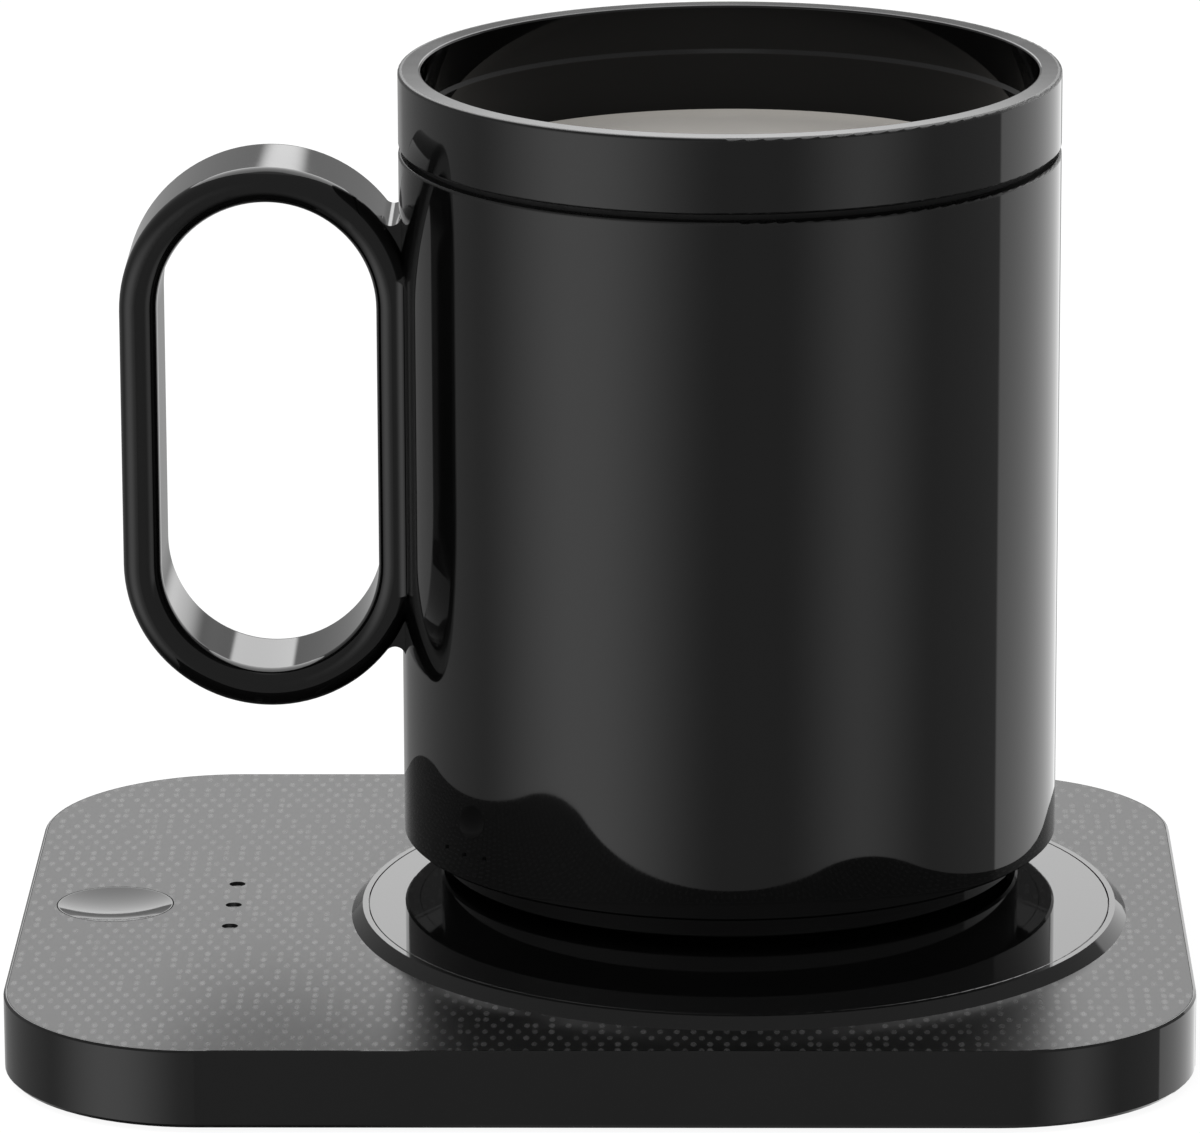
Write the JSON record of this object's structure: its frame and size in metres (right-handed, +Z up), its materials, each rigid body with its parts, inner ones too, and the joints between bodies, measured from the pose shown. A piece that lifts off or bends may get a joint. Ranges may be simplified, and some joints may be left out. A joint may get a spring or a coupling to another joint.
{
  "type": "electric mug warmer",
  "caption": "Electric mug warmer: a thin rounded heated base with a push button and a raised warming disc, carrying its matching double-walled mug with a loop handle.",
  "frame": {"origin": "under the middle of the base's footprint, on the surface that the rubber feet stand on", "axes": "+X to the right as the user faces it, with the button and the mug handle on the left; +Y to the back, where the power inlet is; +Z up"},
  "size_m": [0.1408, 0.1122, 0.111],
  "materials": {
    "casing": "polished black",
    "casing_matte": "fine spark-eroded black",
    "textured_sheet": "black film with a staggered grid of small raised dots",
    "disc": "mirror-gloss black enamel",
    "mug": "gloss black glaze",
    "rubber": "matt black",
    "aluminium": "milled",
    "copper": "etched copper track on a brown film",
    "insulation": "pale silica felt",
    "steel": "zinc plated",
    "contact_metal": "black oxide, fine turned",
    "glass_bead": "amber epoxy",
    "component": "moulded epoxy",
    "ceramic_component": "tan ceramic with tinned ends",
    "board": "green solder mask",
    "white_plastic": "natural nylon",
    "light_guide": "clear moulded",
    "led": "diffused lens",
    "red_wire": "silicone sleeve",
    "white_wire": "silicone sleeve"
  },
  "bodies": {
    "base": {"housing": "casing", "bottom_cover": "casing_matte", "top_panel": "textured_sheet", "disc_bezel": "disc", "warming_plate": "disc", "disc_gasket": "rubber", "heat_spreader": "aluminium", "heating_element": "copper", "insulation_pad": "insulation", "heater_clamp": "steel", "clamp_screws": "steel", "cover_screws": "steel", "board_screws": "steel", "temperature_sensor": "glass_bead", "thermal_fuse": "component", "tact_switch": "component", "circuit_board": "board", "wire_connector": "white_plastic", "controller_chip": "component", "power_transistor": "component", "power_choke": "component", "capacitors": "ceramic_component", "inlet_shell": "steel", "inlet_tongue": "component", "heater_leads": "red_wire", "sensor_lead": "white_wire", "rubber_foot_1": "rubber", "rubber_foot_2": "rubber", "rubber_foot_3": "rubber", "rubber_foot_4": "rubber", "light_guide_1": "light_guide", "indicator_led_1": "led", "light_guide_2": "light_guide", "indicator_led_2": "led", "light_guide_3": "light_guide", "indicator_led_3": "led"},
    "button": {"button_cap": "casing", "switch_plunger": "component"},
    "mug": {"mug_shell": "mug", "mug_liner": "mug", "mug_handle": "mug", "mug_seal": "rubber", "mug_foot": "mug", "mug_contact_plate": "contact_metal"}
  },
  "joints": [
    {"name": "button_press", "type": "slide", "parent": "base", "child": "button", "axis": [0, 0, -1], "range_m": [0, 0.0005], "stiffness_N_per_m": 1500, "springref_m": -0.0004},
    {"name": "mug_lift", "type": "slide", "parent": "base", "child": "mug", "axis": [0, 0, 1], "range_m": [0, 0.15]}
  ]
}
